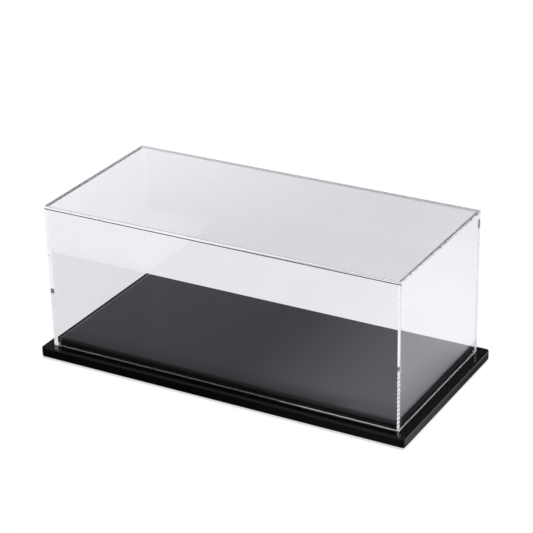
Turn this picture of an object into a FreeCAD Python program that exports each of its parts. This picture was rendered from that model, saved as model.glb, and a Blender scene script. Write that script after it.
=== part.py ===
import FreeCAD, Part
import os

# A clear case for a collectible: a five-sided cover of cemented acrylic sheet stands on the ledge of a
# two-tier black base and lifts straight off it. X runs along the case, Y from front to back, Z up.
# The origin is on the floor, under the middle of the case.

# Driving dimensions of the cover, in millimetres
COVER_LENGTH = 345.0
COVER_DEPTH = 160.0
OVERALL_HEIGHT = 148.0
SHEET = 3.0
CEMENT = 0.1
POLISHED_EDGE = 0.3
# The walls touch the ledge only at the high spots of their sawn edges, so a film of air stays under them
AIR_FILM = 0.05

# Driving dimensions of the base
LEDGE_WIDTH = 9.0
LEDGE_HEIGHT = 11.0
STEP_HEIGHT = 7.0
DECK_CLEARANCE = 0.6
DECK_CORNER = 3.0
DECK_EDGE = 2.5
PLINTH_CORNER = 3.0
PLINTH_TOP_EDGE = 1.2
PLINTH_RIM_EDGE = 2.0

# Both tiers are moulded: a skin of even thickness over a grid of ribs, open below
SKIN = 2.5
RIB = 1.6
RIB_ABOVE_RIM = 0.6
CELLS_ALONG = 10
CELLS_ACROSS = 5

# Feet are rubber discs, half sunk in seats under the corner cells
FOOT_RADIUS = 6.0
FOOT_GAP = 0.1
FOOT_STAND = 1.0
FOOT_SINK = 1.0
FOOT_CHAMFER = 0.4
FOOT_SEAT_WALL = 1.5

# Pan-head screws go up through bosses in the plinth and bite into the deck
SCREW_RADIUS = 1.45
SCREW_LENGTH = 9.6
SCREW_TIP = 1.5
SCREW_POINT = 0.3
SCREW_HEAD_RADIUS = 2.8
SCREW_HEAD_HEIGHT = 2.0
SCREW_HEAD_CHAMFER = 0.7
CROSS_WIDTH = 0.8
CROSS_LENGTH = 3.0
CROSS_DEPTH = 0.9
PILOT_RADIUS = 1.5
PILOT_DEPTH = 5.0
PASSAGE_RADIUS = 1.7
BOSS_RADIUS = 4.5
BOSS_SEAT = 5.0

# Worked out from the driving dimensions
COVER_X = COVER_LENGTH / 2
COVER_Y = COVER_DEPTH / 2
INSIDE_X = COVER_X - SHEET
INSIDE_Y = COVER_Y - SHEET
TOP_UNDERSIDE = OVERALL_HEIGHT - SHEET
WALL_TOP = TOP_UNDERSIDE - CEMENT
PLINTH_X = COVER_X + LEDGE_WIDTH
PLINTH_Y = COVER_Y + LEDGE_WIDTH
CAVITY_X = PLINTH_X - SKIN
CAVITY_Y = PLINTH_Y - SKIN
CAVITY_TOP = LEDGE_HEIGHT - SKIN
DECK_X = INSIDE_X - DECK_CLEARANCE
DECK_Y = INSIDE_Y - DECK_CLEARANCE
DECK_TOP = LEDGE_HEIGHT + STEP_HEIGHT
WALL_FOOT = LEDGE_HEIGHT + AIR_FILM

UP = FreeCAD.Vector(0, 0, 1)
CLOSE = 1e-6


def block(low, high):
    """Box between two opposite corners."""
    size = [b - a for a, b in zip(low, high)]
    return Part.makeBox(*size, FreeCAD.Vector(*low))


def disc(radius, x, y, low, high):
    """Upright cylinder between two heights."""
    return Part.makeCylinder(radius, high - low, FreeCAD.Vector(x, y, low), UP)


def same(a, b):
    return abs(a - b) < CLOSE


def flat_edges(shape, z):
    """Edges that lie wholly at one height."""
    return [e for e in shape.Edges if same(e.BoundBox.ZMin, z) and same(e.BoundBox.ZMax, z)]


def upright_edges(shape):
    """Edges that run straight up."""
    return [e for e in shape.Edges if e.BoundBox.XLength + e.BoundBox.YLength < CLOSE]


def board(half_x, half_y, low, high, corner):
    """Flat board with rounded upright corners."""
    plain = block((-half_x, -half_y, low), (half_x, half_y, high))
    return plain.makeFillet(corner, upright_edges(plain))


def cell_centres(half_width, cells):
    """Middles of equal cells between evenly spaced ribs."""
    width = (2 * half_width - (cells - 1) * RIB) / cells
    pitch = width + RIB
    return [-half_width + width / 2 + i * pitch for i in range(cells)]


CELL_X = cell_centres(CAVITY_X, CELLS_ALONG)
CELL_Y = cell_centres(CAVITY_Y, CELLS_ACROSS)
SCREW_SPOTS = [(x, y) for x in (CELL_X[1], CELL_X[-2]) for y in (CELL_Y[1], CELL_Y[-2])]
FOOT_SPOTS = {
    "front_left": (CELL_X[0], CELL_Y[0]),
    "front_right": (CELL_X[-1], CELL_Y[0]),
    "back_left": (CELL_X[0], CELL_Y[-1]),
    "back_right": (CELL_X[-1], CELL_Y[-1]),
}


def top_panel():
    """Sheet that lies over all four walls, with its upper edges and corners polished."""
    sheet = block((-COVER_X, -COVER_Y, TOP_UNDERSIDE), (COVER_X, COVER_Y, OVERALL_HEIGHT))
    return sheet.makeFillet(POLISHED_EDGE, flat_edges(sheet, OVERALL_HEIGHT) + upright_edges(sheet))


def long_panel(side):
    """Front (side -1) or back (side 1) sheet, the full length of the cover."""
    faces = sorted((side * COVER_Y, side * INSIDE_Y))
    sheet = block((-COVER_X, faces[0], WALL_FOOT), (COVER_X, faces[1], WALL_TOP))
    lower = [e for e in flat_edges(sheet, WALL_FOOT) if e.BoundBox.XLength > SHEET]
    corners = [e for e in upright_edges(sheet) if same(e.BoundBox.YMin, side * COVER_Y)]
    return sheet.makeFillet(POLISHED_EDGE, lower + corners)


def end_panel(side):
    """Left (side -1) or right (side 1) sheet, which stands between the front and back sheets."""
    faces = sorted((side * COVER_X, side * INSIDE_X))
    reach = INSIDE_Y - CEMENT
    sheet = block((faces[0], -reach, WALL_FOOT), (faces[1], reach, WALL_TOP))
    lower = [e for e in flat_edges(sheet, WALL_FOOT) if e.BoundBox.YLength > SHEET]
    return sheet.makeFillet(POLISHED_EDGE, lower)


def top_bond_long(side):
    """Cement film between the front or back sheet and the top sheet."""
    faces = sorted((side * COVER_Y, side * INSIDE_Y))
    return block((-COVER_X, faces[0], WALL_TOP), (COVER_X, faces[1], TOP_UNDERSIDE))


def top_bond_end(side):
    """Cement film between the left or right sheet and the top sheet."""
    faces = sorted((side * COVER_X, side * INSIDE_X))
    return block((faces[0], -INSIDE_Y, WALL_TOP), (faces[1], INSIDE_Y, TOP_UNDERSIDE))


def corner_bond(side_x, side_y):
    """Cement film in an upright corner, between an end sheet's edge and a long sheet's inside face."""
    span_x = sorted((side_x * COVER_X, side_x * INSIDE_X))
    span_y = sorted((side_y * INSIDE_Y, side_y * (INSIDE_Y - CEMENT)))
    low = WALL_FOOT + POLISHED_EDGE
    return block((span_x[0], span_y[0], low), (span_x[1], span_y[1], WALL_TOP))


def rib_grid(half_x, half_y, low, high):
    """Ribs between the cells, which stiffen a skin from below."""
    ribs = []
    for a, b in zip(CELL_X, CELL_X[1:]):
        middle = (a + b) / 2
        ribs.append(block((middle - RIB / 2, -half_y, low), (middle + RIB / 2, half_y, high)))
    for a, b in zip(CELL_Y, CELL_Y[1:]):
        middle = (a + b) / 2
        ribs.append(block((-half_x, middle - RIB / 2, low), (half_x, middle + RIB / 2, high)))
    return ribs


def plinth():
    """Moulded lower tier: a ledge for the cover, a rounded skirt, and ribs, bosses and foot seats below."""
    shell = board(PLINTH_X, PLINTH_Y, FOOT_STAND, LEDGE_HEIGHT, PLINTH_CORNER)
    shell = shell.makeFillet(PLINTH_TOP_EDGE, flat_edges(shell, LEDGE_HEIGHT))
    shell = shell.makeFillet(PLINTH_RIM_EDGE, flat_edges(shell, FOOT_STAND))
    shell = shell.cut(board(CAVITY_X, CAVITY_Y, FOOT_STAND, CAVITY_TOP, PLINTH_CORNER - SKIN))
    bosses = [disc(BOSS_RADIUS, x, y, BOSS_SEAT, CAVITY_TOP) for x, y in SCREW_SPOTS]
    seat_radius = FOOT_RADIUS + FOOT_GAP
    seats = [disc(seat_radius + FOOT_SEAT_WALL, x, y, FOOT_STAND, CAVITY_TOP) for x, y in FOOT_SPOTS.values()]
    ribs = rib_grid(CAVITY_X, CAVITY_Y, FOOT_STAND + RIB_ABOVE_RIM, CAVITY_TOP)
    shell = shell.fuse(ribs + bosses + seats)
    passages = [disc(PASSAGE_RADIUS, x, y, BOSS_SEAT, LEDGE_HEIGHT) for x, y in SCREW_SPOTS]
    sinks = [disc(seat_radius, x, y, FOOT_STAND, FOOT_STAND + FOOT_SINK) for x, y in FOOT_SPOTS.values()]
    return shell.cut(passages + sinks).removeSplitter()


def deck():
    """Moulded upper tier that the collectible stands on: a tray upside down, with posts for the screws."""
    tray = board(DECK_X, DECK_Y, LEDGE_HEIGHT, DECK_TOP, DECK_CORNER)
    tray = tray.makeFillet(DECK_EDGE, flat_edges(tray, DECK_TOP))
    hollow_x, hollow_y, hollow_top = DECK_X - SKIN, DECK_Y - SKIN, DECK_TOP - SKIN
    tray = tray.cut(board(hollow_x, hollow_y, LEDGE_HEIGHT, hollow_top, DECK_CORNER - SKIN))
    ribs = rib_grid(hollow_x, hollow_y, LEDGE_HEIGHT + RIB_ABOVE_RIM, hollow_top)
    posts = [disc(BOSS_RADIUS, x, y, LEDGE_HEIGHT, hollow_top) for x, y in SCREW_SPOTS]
    pilots = [disc(PILOT_RADIUS, x, y, LEDGE_HEIGHT, LEDGE_HEIGHT + PILOT_DEPTH) for x, y in SCREW_SPOTS]
    return tray.fuse(ribs + posts).cut(pilots).removeSplitter()


def screw(x, y):
    """Pan-head screw, head down, with a cross recess in its head. Its thread is left plain."""
    crown = BOSS_SEAT - SCREW_HEAD_HEIGHT
    neck = BOSS_SEAT + SCREW_LENGTH - SCREW_TIP
    head = disc(SCREW_HEAD_RADIUS, x, y, crown, BOSS_SEAT)
    head = head.makeChamfer(SCREW_HEAD_CHAMFER, flat_edges(head, crown))
    shank = disc(SCREW_RADIUS, x, y, BOSS_SEAT, neck)
    tip = Part.makeCone(SCREW_RADIUS, SCREW_POINT, SCREW_TIP, FreeCAD.Vector(x, y, neck), UP)
    long_half, short_half = CROSS_LENGTH / 2, CROSS_WIDTH / 2
    bottom = crown + CROSS_DEPTH
    slots = [
        block((x - long_half, y - short_half, crown), (x + long_half, y + short_half, bottom)),
        block((x - short_half, y - long_half, crown), (x + short_half, y + long_half, bottom)),
    ]
    return head.fuse([shank, tip]).cut(slots)


def deck_screws():
    return Part.makeCompound([screw(x, y) for x, y in SCREW_SPOTS])


def foot(x, y):
    """Rubber disc, half in its seat, with its floor edge chamfered."""
    pad = disc(FOOT_RADIUS, x, y, 0, FOOT_STAND + FOOT_SINK)
    return pad.makeChamfer(FOOT_CHAMFER, flat_edges(pad, 0))


def pieces():
    """Every node's name and shape."""
    made = {
        "top_panel": top_panel(),
        "front_panel": long_panel(-1),
        "back_panel": long_panel(1),
        "left_panel": end_panel(-1),
        "right_panel": end_panel(1),
        "top_bond_front": top_bond_long(-1),
        "top_bond_back": top_bond_long(1),
        "top_bond_left": top_bond_end(-1),
        "top_bond_right": top_bond_end(1),
        "plinth": plinth(),
        "deck": deck(),
        "deck_screws": deck_screws(),
    }
    for name_y, side_y in (("front", -1), ("back", 1)):
        for name_x, side_x in (("left", -1), ("right", 1)):
            made[f"corner_bond_{name_y}_{name_x}"] = corner_bond(side_x, side_y)
    for name, (x, y) in FOOT_SPOTS.items():
        made[f"foot_{name}"] = foot(x, y)
    return made


os.makedirs("parts", exist_ok=True)
for node, shape in pieces().items():
    if not shape.isValid():
        raise ValueError(f"{node} is not a valid shape")
    shape.exportStep(f"parts/{node}.step")
    print(node, len(shape.Solids), "solids", round(shape.Volume / 1000, 2), "cm3")
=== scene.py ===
from math import cos, radians, sin

import bpy
from mathutils import Matrix, Vector


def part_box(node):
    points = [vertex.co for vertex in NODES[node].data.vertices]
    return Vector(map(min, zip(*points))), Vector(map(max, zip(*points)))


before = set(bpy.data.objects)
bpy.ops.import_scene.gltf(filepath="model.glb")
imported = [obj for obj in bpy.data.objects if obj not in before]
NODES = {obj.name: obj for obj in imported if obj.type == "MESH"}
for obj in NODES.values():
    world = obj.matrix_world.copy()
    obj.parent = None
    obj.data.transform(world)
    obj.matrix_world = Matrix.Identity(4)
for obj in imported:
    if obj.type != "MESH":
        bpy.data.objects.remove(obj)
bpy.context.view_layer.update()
MM = 0.001
X, Y, Z = range(3)

# The photograph's view: angles in degrees, places in metres, focal length and sensor in millimetres
AZIMUTH = 29.59
ELEVATION = 25.18
ROLL = -1.31
DISTANCE = 1.7157
AIM_RIGHT = 0.0022
AIM_UP = 0.0831
LENS = 128.6
SENSOR = 36.0
FAR_CLIP = 100

# Where the sheets meet, in metres from the middle planes of the case and from the floor
INSIDE_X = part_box("right_panel")[0][X]
OUTSIDE_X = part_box("right_panel")[1][X]
INSIDE_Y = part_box("back_panel")[0][Y]
OUTSIDE_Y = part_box("back_panel")[1][Y]
END_SHEET_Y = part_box("right_panel")[1][Y]
TOP_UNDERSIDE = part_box("top_panel")[0][Z]
WALL_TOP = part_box("front_panel")[1][Z]
WALL_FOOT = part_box("front_panel")[0][Z]
HAIR = 0.02 * MM

# A wall stands on its two broken edges: this wide, and frosted this high above the foot. Towards the right
# the saw chipped one of them: how far from the middle each step of the chips starts, and how high it reaches
FOOT_EDGE = 0.7 * MM
FOOT_RISE = 0.03 * MM
CHIPS = ((40 * MM, 0.25 * MM), (60 * MM, 0.5 * MM), (80 * MM, 0.8 * MM))

# Joints that show: a dark line of painted shade along the front one, and the dry line inside the right one
SHADE_LINE_WIDTH = 2.2 * MM
DRY_WIDTH = 0.6 * MM

# Patterns, each at its real size but for the mould grain, which is twice as coarse
CASTING_WAVE = 40 * MM
ORANGE_PEEL = 3 * MM
MOULD_GRAIN = 0.8 * MM
FLOW_CLOUD = 45 * MM
CEMENT_CREEP = 9 * MM
CEMENT_FLECK = 2.2 * MM
ZINC_CRYSTAL = 0.7 * MM
RUBBER_BLOOM = 2.5 * MM

# Depths of moulded skins, and how much of the mould grain's depth shows
PEEL_DEPTH = 0.01 * MM
GRAIN_DEPTH = 0.02 * MM
PIT_DEPTH = 0.05 * MM
GRAIN_SHOWN = 0.5

# Most noise lies in this range. Above the limit it is a fleck of trapped air
NOISE_RANGE = (0.3, 0.7)
FLECK_LIMIT = 0.74

# Roughness of the finishes, at the smoothest and the dullest places
GLOSS_ROUGHNESS = (0.08, 0.13)
SATIN_ROUGHNESS = (0.33, 0.38)
ZINC_ROUGHNESS = (0.25, 0.42)
RUBBER_ROUGHNESS = (0.72, 0.9)
FROST_ROUGHNESS = 0.6

# Refractive indices, where 1 takes all gloss away
ACRYLIC_IOR = 1.49
ABS_IOR = 1.53
RUBBER_IOR = 1.52
NO_GLOSS_IOR = 1.0

# Tests on a point's distance from a plane, and a fourth axis for them: X with its sign, under 0 on the left
OVER = "GREATER_THAN"
UNDER = "LESS_THAN"
RIGHTWARD = 3

FLOOR_HALF = 4.0
COOL_LIGHT = "#F5F6FD"

# What the case mirrors of the floor changes smoothly along one axis: from and to in metres, the level at each
FLOOR_FADES = {
    "to_right": (X, -30 * MM, 135 * MM, 0.22, 1.08),
    "to_back": (Y, -95 * MM, -60 * MM, 0.22, 1.08),
    "up_to_base": (Y, -140 * MM, -100 * MM, 1.0, 0.1),
    "strip_end": (X, 60 * MM, 120 * MM, 0.0, 0.8),
    "strip_foot": (Y, -115 * MM, -107 * MM, 1.0, 0.0),
    "glare": (X, 160 * MM, 200 * MM, 1.0, 1.08),
    "far_back": (Y, 180 * MM, 360 * MM, 1.0, 0.66),
    "band_inner": (X, 170 * MM, 180 * MM, 0.0, 1.0),
    "band_outer": (X, 186 * MM, 192 * MM, 0.0, 1.0),
    "along_band": (Y, -100 * MM, 100 * MM, 0.65, 0.16),
}

# Where the floor ahead of the base ends, and the base's two shades on the floor: how far each reaches and the
# way it leans. The first is only mirrored, and its depth is a power
BASE_FRONT = -90 * MM
CORNER_SHADE = 50 * MM
SHADE_DEPTH = 1.5
SHADE_TILT = (0.0, -0.2, 0.95)
CONTACT_SHADOW = 1.9 * MM
SHADOW_TILT = (0.75, 0.25, 0.6)

# The studio by direction: walls up to a line that sinks to the right, dimmer ahead of the case, and a soft
# light overhead. Each has the direction's part where it starts and ends to change, and the level at each
WALL_SLOPE = 0.35
WALL_LINE = (0.14, 0.27, 1.3, 0.07)
WALL_AHEAD = (-0.4, 0.2, 0.25, 1.0)
OVERHEAD = (0.62, 0.8, 0.0, 0.4)

# Turns of light: inside the sheets, where it runs on for long, between dull faces, and before any is dropped
SHEET_TURNS = 160
DULL_TURNS = 24
SURE_TURNS = 12


def hex_colour(text):
    """Linear colour of an sRGB hex value."""
    channels = [int(text[i : i + 2], 16) / 255 for i in (1, 3, 5)]
    return (*(c / 12.92 if c <= 0.04045 else ((c + 0.055) / 1.055) ** 2.4 for c in channels), 1.0)


def add_node(tree, kind, inputs=None, **settings):
    """Adds a node, sets its own settings, and fills or links its inputs by name or by place."""
    made = tree.nodes.new(kind)
    for name, value in settings.items():
        setattr(made, name, value)
    for name, value in (inputs or {}).items():
        if isinstance(value, bpy.types.NodeSocket):
            tree.links.new(value, made.inputs[name])
        else:
            made.inputs[name].default_value = value
    return made


def new_material(name):
    """Empty node material, its tree and the place of a point in the case's own frame."""
    made = bpy.data.materials.new(name)
    made.use_nodes = True
    tree = made.node_tree
    tree.nodes.clear()
    return made, tree, add_node(tree, "ShaderNodeTexCoord").outputs["Object"]


def in_any(tree, where, zones):
    """1 in any of the zones and 0 elsewhere.

    A zone is a list of tests that a point passes together: an axis, OVER or UNDER, and a distance in metres
    from the case's middle plane or from the floor. Along RIGHTWARD the distance has its sign.
    """
    away = add_node(tree, "ShaderNodeVectorMath", {0: where}, operation="ABSOLUTE").outputs[0]
    parts = [*add_node(tree, "ShaderNodeSeparateXYZ", {0: away}).outputs]
    parts.append(add_node(tree, "ShaderNodeSeparateXYZ", {0: where}).outputs[X])
    found = 0.0
    for zone in zones:
        inside = 1.0
        for axis, side, limit in zone:
            passed = add_node(tree, "ShaderNodeMath", {0: parts[axis], 1: limit}, operation=side).outputs[0]
            inside = add_node(tree, "ShaderNodeMath", {0: inside, 1: passed}, operation="MULTIPLY").outputs[0]
        found = add_node(tree, "ShaderNodeMath", {0: found, 1: inside}, operation="MAXIMUM").outputs[0]
    return found


def cast_acrylic(name, joints, sawn):
    """Cast acrylic sheet, sawn, cemented and flame polished.

    It is water clear and as sharp as a mirror, with a breath of blue that comes and goes over the casting.
    Cement and sheet bend light alike, so a cemented face mirrors nothing and light runs on from sheet to
    sheet. Sawn places, where there are any, keep the white frost of the saw. Joints and sawn are zones.
    """
    made, tree, where = new_material(name)
    wave = add_node(tree, "ShaderNodeTexNoise", {"Vector": where, "Scale": 1 / CASTING_WAVE, "Detail": 1.0})
    tint = add_node(
        tree,
        "ShaderNodeMix",
        {0: wave.outputs["Fac"], 6: hex_colour("#F9F9FC"), 7: hex_colour("#FCFCFE")},
        data_type="RGBA",
    )
    apart = add_node(tree, "ShaderNodeMath", {0: 1.0, 1: in_any(tree, where, joints)}, operation="SUBTRACT")
    shader = add_node(
        tree,
        "ShaderNodeBsdfPrincipled",
        {
            "Base Color": tint.outputs[2],
            "Roughness": 0.0,
            "IOR": ACRYLIC_IOR,
            "Transmission Weight": 1.0,
            "Alpha": apart.outputs[0],
        },
    )
    if sawn:
        clear = add_node(tree, "ShaderNodeMath", {0: 1.0, 1: in_any(tree, where, sawn)}, operation="SUBTRACT")
        tree.links.new(clear.outputs[0], shader.inputs["Transmission Weight"])
    add_node(tree, "ShaderNodeOutputMaterial", {"Surface": shader.outputs["BSDF"]})
    return made


def saw_frost(tree, where):
    """White of a sawn edge between two sheets, a little uneven where cement crept along it."""
    creep = add_node(tree, "ShaderNodeTexNoise", {"Vector": where, "Scale": 1 / CEMENT_CREEP, "Detail": 2.0})
    return add_node(
        tree,
        "ShaderNodeMix",
        {0: creep.outputs["Fac"], 6: hex_colour("#F4F4F7"), 7: hex_colour("#FCFCFD")},
        data_type="RGBA",
    )


def dry_cement(name, painted_shade):
    """Solvent cement that dried before it wetted the sawn edge, which stays frosty white and without gloss.

    Along an open outer line, where there is one, dark grey paints the shade that the line holds. The zones of
    that line are the second argument.
    """
    made, tree, where = new_material(name)
    frost = saw_frost(tree, where)
    shader = add_node(
        tree,
        "ShaderNodeBsdfPrincipled",
        {"Base Color": frost.outputs[2], "Roughness": FROST_ROUGHNESS, "IOR": NO_GLOSS_IOR},
    )
    # Painted shade: dark grey stands in for the shade held in the open outer line
    if painted_shade:
        tone = add_node(
            tree,
            "ShaderNodeMix",
            {0: in_any(tree, where, painted_shade), 6: frost.outputs[2], 7: hex_colour("#4C4D52")},
            data_type="RGBA",
        )
        tree.links.new(tone.outputs[2], shader.inputs["Base Color"])
    add_node(tree, "ShaderNodeOutputMaterial", {"Surface": shader.outputs["BSDF"]})
    return made


def cured_cement(name, dry):
    """Cured solvent cement that wetted both sheets, so that only a few white flecks of trapped air show.

    Dry is zones, where there are any, that it never reached and that stay frosty white.
    """
    made, tree, where = new_material(name)
    speck = add_node(tree, "ShaderNodeTexNoise", {"Vector": where, "Scale": 1 / CEMENT_FLECK, "Detail": 0.0})
    fleck = add_node(tree, "ShaderNodeMath", {0: speck.outputs["Fac"], 1: FLECK_LIMIT}, operation=OVER)
    shader = add_node(
        tree,
        "ShaderNodeBsdfPrincipled",
        {
            "Base Color": saw_frost(tree, where).outputs[2],
            "Roughness": FROST_ROUGHNESS,
            "IOR": NO_GLOSS_IOR,
            "Alpha": fleck.outputs[0],
        },
    )
    if dry:
        shown = add_node(
            tree, "ShaderNodeMath", {0: in_any(tree, where, dry), 1: fleck.outputs[0]}, operation="MAXIMUM"
        )
        tree.links.new(shown.outputs[0], shader.inputs["Alpha"])
    add_node(tree, "ShaderNodeOutputMaterial", {"Surface": shader.outputs["BSDF"]})
    return made


def gloss_black_abs():
    """Black ABS from a polished mould: deep black under a smooth gloss, with the faint orange peel of a
    moulding and slightly duller clouds where the melt cooled last."""
    made, tree, where = new_material("gloss_black_moulded_abs")
    cloud = add_node(tree, "ShaderNodeTexNoise", {"Vector": where, "Scale": 1 / FLOW_CLOUD, "Detail": 3.0})
    peel = add_node(tree, "ShaderNodeTexNoise", {"Vector": where, "Scale": 1 / ORANGE_PEEL, "Detail": 1.0})
    shade = add_node(
        tree,
        "ShaderNodeMix",
        {0: cloud.outputs["Fac"], 6: hex_colour("#020203"), 7: hex_colour("#050506")},
        data_type="RGBA",
    )
    dull = add_node(
        tree,
        "ShaderNodeMapRange",
        {0: cloud.outputs["Fac"]} | dict(enumerate(NOISE_RANGE + GLOSS_ROUGHNESS, 1)),
    )
    skin = add_node(tree, "ShaderNodeBump", {"Height": peel.outputs["Fac"], "Distance": PEEL_DEPTH})
    shader = add_node(
        tree,
        "ShaderNodeBsdfPrincipled",
        {
            "Base Color": shade.outputs[2],
            "Roughness": dull.outputs[0],
            "IOR": ABS_IOR,
            "Normal": skin.outputs[0],
        },
    )
    add_node(tree, "ShaderNodeOutputMaterial", {"Surface": shader.outputs["BSDF"]})
    return made


def satin_black_abs():
    """Black ABS from a spark-eroded mould: a fine even grain, drawn twice as coarse as the real one, that
    spreads the shine and leaves the face satin and a little greyer than the gloss tier."""
    made, tree, where = new_material("satin_black_moulded_abs")
    cloud = add_node(tree, "ShaderNodeTexNoise", {"Vector": where, "Scale": 1 / FLOW_CLOUD, "Detail": 3.0})
    grain = add_node(tree, "ShaderNodeTexNoise", {"Vector": where, "Scale": 1 / MOULD_GRAIN, "Detail": 2.0})
    shade = add_node(
        tree,
        "ShaderNodeMix",
        {0: grain.outputs["Fac"], 6: hex_colour("#060607"), 7: hex_colour("#0B0B0C")},
        data_type="RGBA",
    )
    dull = add_node(
        tree,
        "ShaderNodeMapRange",
        {0: cloud.outputs["Fac"]} | dict(enumerate(NOISE_RANGE + SATIN_ROUGHNESS, 1)),
    )
    skin = add_node(
        tree,
        "ShaderNodeBump",
        {"Height": grain.outputs["Fac"], "Strength": GRAIN_SHOWN, "Distance": GRAIN_DEPTH},
    )
    shader = add_node(
        tree,
        "ShaderNodeBsdfPrincipled",
        {
            "Base Color": shade.outputs[2],
            "Roughness": dull.outputs[0],
            "IOR": ABS_IOR,
            "Normal": skin.outputs[0],
        },
    )
    add_node(tree, "ShaderNodeOutputMaterial", {"Surface": shader.outputs["BSDF"]})
    return made


def zinc_plated_steel():
    """Steel screw with bright zinc plating: pale grey with a cold sheen and fine cloudy crystals."""
    made, tree, where = new_material("zinc_plated_steel")
    crystal = add_node(tree, "ShaderNodeTexVoronoi", {"Vector": where, "Scale": 1 / ZINC_CRYSTAL})
    shade = add_node(
        tree,
        "ShaderNodeMix",
        {0: crystal.outputs["Color"], 6: hex_colour("#B4B8BE"), 7: hex_colour("#CFD2D6")},
        data_type="RGBA",
    )
    dull = add_node(
        tree, "ShaderNodeMapRange", {0: crystal.outputs["Distance"]} | dict(enumerate(ZINC_ROUGHNESS, 3))
    )
    shader = add_node(
        tree,
        "ShaderNodeBsdfPrincipled",
        {"Base Color": shade.outputs[2], "Roughness": dull.outputs[0], "Metallic": 1.0},
    )
    add_node(tree, "ShaderNodeOutputMaterial", {"Surface": shader.outputs["BSDF"]})
    return made


def moulded_rubber():
    """Moulded black rubber: dead matt, with a dusty bloom in small patches and a fine pitted skin."""
    made, tree, where = new_material("moulded_black_rubber")
    bloom = add_node(tree, "ShaderNodeTexNoise", {"Vector": where, "Scale": 1 / RUBBER_BLOOM, "Detail": 4.0})
    shade = add_node(
        tree,
        "ShaderNodeMix",
        {0: bloom.outputs["Fac"], 6: hex_colour("#141414"), 7: hex_colour("#262625")},
        data_type="RGBA",
    )
    dull = add_node(
        tree,
        "ShaderNodeMapRange",
        {0: bloom.outputs["Fac"]} | dict(enumerate(NOISE_RANGE + RUBBER_ROUGHNESS, 1)),
    )
    skin = add_node(tree, "ShaderNodeBump", {"Height": bloom.outputs["Fac"], "Distance": PIT_DEPTH})
    shader = add_node(
        tree,
        "ShaderNodeBsdfPrincipled",
        {
            "Base Color": shade.outputs[2],
            "Roughness": dull.outputs[0],
            "IOR": RUBBER_IOR,
            "Normal": skin.outputs[0],
        },
    )
    add_node(tree, "ShaderNodeOutputMaterial", {"Surface": shader.outputs["BSDF"]})
    return made


def dress(material, *names):
    """Gives CAD nodes their finish."""
    for name in names:
        slots = NODES[name].data.materials
        slots.clear()
        slots.append(material)


def dress_sheets():
    """Cast acrylic on the five sheets, of four kinds, because they are cemented along different faces and
    chipped in different places. The walls stand on broken edges that were sawn and not polished."""
    underside = (Z, UNDER, TOP_UNDERSIDE + HAIR)
    under_top = (Z, OVER, WALL_TOP - HAIR)
    foot = (Z, UNDER, WALL_FOOT + FOOT_RISE)
    over_ends = [underside, (X, OVER, INSIDE_X)]
    over_long_walls = [underside, (Y, OVER, INSIDE_Y)]
    beside_ends = [(X, OVER, INSIDE_X), (Y, UNDER, INSIDE_Y + HAIR)]
    chips = [[(Z, UNDER, WALL_FOOT + rise), (RIGHTWARD, OVER, start)] for start, rise in CHIPS]
    long_inner = (Y, UNDER, INSIDE_Y + FOOT_EDGE)
    long_outer = (Y, OVER, OUTSIDE_Y - FOOT_EDGE)
    end_inner = (X, UNDER, INSIDE_X + FOOT_EDGE)
    end_outer = (X, OVER, OUTSIDE_X - FOOT_EDGE)
    long_feet = [[foot, long_inner], [foot, long_outer]]
    front_feet = long_feet + [[*chip, long_outer] for chip in chips]
    end_feet = [[foot, end_inner], [foot, end_outer]] + [[*chip, end_inner] for chip in chips]
    dress(cast_acrylic("cast_acrylic_top", [over_ends, over_long_walls], []), "top_panel")
    dress(cast_acrylic("cast_acrylic_front_wall", [[under_top], beside_ends], front_feet), "front_panel")
    dress(cast_acrylic("cast_acrylic_back_wall", [[under_top], beside_ends], long_feet), "back_panel")
    end_wall = cast_acrylic("cast_acrylic_end_wall", [[under_top], [(Y, OVER, END_SHEET_Y - HAIR)]], end_feet)
    dress(end_wall, "left_panel", "right_panel")


def dress_joints():
    """Cement films: dry under the top's front and back, with painted shade along the front's outer line, dry
    along the inside on the right, else clear.
    """
    # Painted shade along the outer line of the front joint
    shade_line = [(Y, OVER, OUTSIDE_Y - SHADE_LINE_WIDTH)]
    inner_line = [(X, UNDER, INSIDE_X + DRY_WIDTH)]
    dress(dry_cement("dry_cement_painted_shade", [shade_line]), "top_bond_front")
    dress(dry_cement("dry_cement", []), "top_bond_back")
    dress(cured_cement("cured_cement_part_dry", [inner_line]), "top_bond_right")
    corners = [name for name in NODES if name.startswith("corner_bond")]
    dress(cured_cement("cured_cement_clear", []), "top_bond_left", *corners)


def dress_base():
    """Gloss and satin tiers, the screws that hold them together, and the feet."""
    dress(gloss_black_abs(), "plinth")
    dress(satin_black_abs(), "deck")
    dress(zinc_plated_steel(), "deck_screws")
    dress(moulded_rubber(), *[name for name in NODES if name.startswith("foot_")])


def place_camera():
    """Camera at the photograph's angle, aimed a little off the case's foot."""
    az, el, roll = radians(AZIMUTH), radians(ELEVATION), radians(ROLL)
    back = Vector((sin(az) * cos(el), -cos(az) * cos(el), sin(el)))
    level = Vector((cos(az), sin(az), 0))
    rise = back.cross(level)
    right = cos(roll) * level + sin(roll) * rise
    up = cos(roll) * rise - sin(roll) * level
    place = back * DISTANCE + right * AIM_RIGHT + up * AIM_UP
    data = bpy.data.cameras.new("camera")
    data.lens = LENS
    data.sensor_width = SENSOR
    data.clip_end = FAR_CLIP
    camera = bpy.data.objects.new("camera", data)
    camera.matrix_world = Matrix.Translation(place) @ Matrix((right, up, back)).transposed().to_4x4()
    bpy.context.scene.collection.objects.link(camera)
    bpy.context.scene.camera = camera


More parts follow.
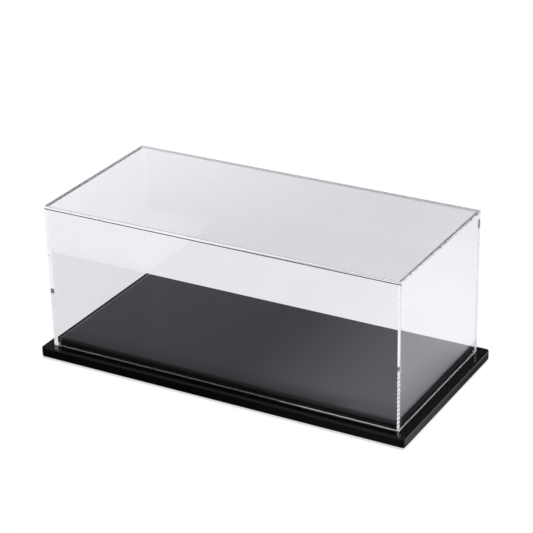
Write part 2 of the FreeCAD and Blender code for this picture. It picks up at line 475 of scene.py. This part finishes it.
def mirrored(tree):
    """1 for a ray that was mirrored once or twice. 0 for one that looks straight or through sheets, lights a
    dull face or has run far inside a sheet, where light from everywhere is mixed."""
    path = add_node(tree, "ShaderNodeLightPath").outputs
    # Depths are whole numbers: 1 and 2 lie within 1 of 1.5, and 0 lies under 0.5
    clean = add_node(tree, "ShaderNodeMath", {0: path["Diffuse Depth"], 1: 0.5}, operation=UNDER)
    turned = add_node(tree, "ShaderNodeMath", {0: path["Glossy Depth"], 1: 1.5, 2: 1.0}, operation="COMPARE")
    both = add_node(tree, "ShaderNodeMath", {0: turned.outputs[0], 1: clean.outputs[0]}, operation="MULTIPLY")
    return both.outputs[0]


def floor_light(tree, where):
    """Level of the floor that the case mirrors.

    It is brightest at the right and behind, and dims to the front left, far out behind and in a strip along
    the base's front that is narrower at the right. A dim band lies along the base's right side, darker to the
    back, and the base shades the floor close round it.
    """
    parts = add_node(tree, "ShaderNodeSeparateXYZ", {0: where}).outputs
    fades = {}
    for name, (axis, *limits) in FLOOR_FADES.items():
        inputs = {0: parts[axis]} | dict(enumerate(limits, 1))
        fades[name] = add_node(tree, "ShaderNodeMapRange", inputs, interpolation_type="SMOOTHSTEP").outputs[0]
    open_floor = add_node(
        tree, "ShaderNodeMath", {0: fades["to_right"], 1: fades["to_back"]}, operation="MAXIMUM"
    )
    past_front = add_node(tree, "ShaderNodeMath", {0: parts[Y], 1: BASE_FRONT}, operation=OVER)
    lit_end = add_node(
        tree, "ShaderNodeMath", {0: fades["strip_end"], 1: fades["strip_foot"]}, operation="MULTIPLY"
    )
    front = add_node(
        tree, "ShaderNodeMath", {0: fades["up_to_base"], 1: lit_end.outputs[0]}, operation="MAXIMUM"
    )
    strip = add_node(
        tree, "ShaderNodeMath", {0: front.outputs[0], 1: past_front.outputs[0]}, operation="MAXIMUM"
    )
    band = add_node(
        tree, "ShaderNodeMath", {0: fades["band_inner"], 1: fades["band_outer"]}, operation="SUBTRACT"
    )
    beside = add_node(tree, "ShaderNodeMix", {0: band.outputs[0], 2: 1.0, 3: fades["along_band"]})
    tilt = add_node(tree, "ShaderNodeCombineXYZ", dict(enumerate(SHADE_TILT)))
    corner = add_node(
        tree, "ShaderNodeAmbientOcclusion", {"Distance": CORNER_SHADE, "Normal": tilt.outputs[0]}
    )
    shade = add_node(tree, "ShaderNodeMath", {0: corner.outputs["AO"], 1: SHADE_DEPTH}, operation="POWER")
    level = open_floor.outputs[0]
    for part in (strip.outputs[0], fades["glare"], fades["far_back"], beside.outputs[0], shade.outputs[0]):
        level = add_node(tree, "ShaderNodeMath", {0: level, 1: part}, operation="MULTIPLY").outputs[0]
    return level


def lay_floor():
    """White paper floor with the case's contact shadow, and its own light where the case mirrors it."""
    made, tree, where = new_material("white_paper_floor")
    tilt = add_node(tree, "ShaderNodeCombineXYZ", dict(enumerate(SHADOW_TILT)))
    contact = add_node(
        tree, "ShaderNodeAmbientOcclusion", {"Distance": CONTACT_SHADOW, "Normal": tilt.outputs[0]}
    )
    shown = add_node(tree, "ShaderNodeEmission", {"Color": contact.outputs["Color"]})
    caught = add_node(
        tree, "ShaderNodeEmission", {"Color": hex_colour(COOL_LIGHT), "Strength": floor_light(tree, where)}
    )
    whole = add_node(
        tree, "ShaderNodeMixShader", {0: mirrored(tree), 1: shown.outputs[0], 2: caught.outputs[0]}
    )
    add_node(tree, "ShaderNodeOutputMaterial", {"Surface": whole.outputs[0]})
    mesh = bpy.data.meshes.new("floor")
    h = FLOOR_HALF
    mesh.from_pydata([(-h, -h, 0), (h, -h, 0), (h, h, 0), (-h, h, 0)], [], [(0, 1, 2, 3)])
    mesh.materials.append(made)
    floor = bpy.data.objects.new("floor", mesh)
    bpy.context.scene.collection.objects.link(floor)


def light_studio():
    """White studio all round. What the case mirrors of it is pale walls up to a sloping line, dimmer in
    front, a dim ceiling and a soft overhead light."""
    world = bpy.data.worlds.new("studio")
    world.use_nodes = True
    tree = world.node_tree
    tree.nodes.clear()
    where = add_node(tree, "ShaderNodeTexCoord").outputs["Generated"]
    parts = add_node(tree, "ShaderNodeSeparateXYZ", {0: where}).outputs
    slope = add_node(
        tree, "ShaderNodeMath", {0: parts[X], 1: WALL_SLOPE, 2: parts[Z]}, operation="MULTIPLY_ADD"
    )
    line = add_node(
        tree,
        "ShaderNodeMapRange",
        {0: slope.outputs[0]} | dict(enumerate(WALL_LINE, 1)),
        interpolation_type="SMOOTHSTEP",
    )
    ahead = add_node(tree, "ShaderNodeMapRange", {0: parts[Y]} | dict(enumerate(WALL_AHEAD, 1)))
    overhead = add_node(
        tree,
        "ShaderNodeMapRange",
        {0: parts[Z]} | dict(enumerate(OVERHEAD, 1)),
        interpolation_type="SMOOTHSTEP",
    )
    walls = add_node(tree, "ShaderNodeMath", {0: line.outputs[0], 1: ahead.outputs[0]}, operation="MULTIPLY")
    level = add_node(
        tree, "ShaderNodeMath", {0: walls.outputs[0], 1: overhead.outputs[0]}, operation="MAXIMUM"
    )
    caught = add_node(
        tree, "ShaderNodeBackground", {"Color": hex_colour(COOL_LIGHT), "Strength": level.outputs[0]}
    )
    shown = add_node(tree, "ShaderNodeBackground", {"Color": hex_colour("#FFFFFF")})
    whole = add_node(
        tree, "ShaderNodeMixShader", {0: mirrored(tree), 1: shown.outputs[0], 2: caught.outputs[0]}
    )
    add_node(tree, "ShaderNodeOutputWorld", {"Surface": whole.outputs[0]})
    bpy.context.scene.world = world


dress_sheets()
dress_joints()
dress_base()
place_camera()
lay_floor()
light_studio()

scene = bpy.context.scene
scene.cycles.max_bounces = SHEET_TURNS
scene.cycles.transmission_bounces = SHEET_TURNS
scene.cycles.glossy_bounces = SHEET_TURNS
scene.cycles.diffuse_bounces = DULL_TURNS
scene.cycles.transparent_max_bounces = SHEET_TURNS
scene.cycles.min_light_bounces = SURE_TURNS
scene.view_settings.view_transform = "Standard"
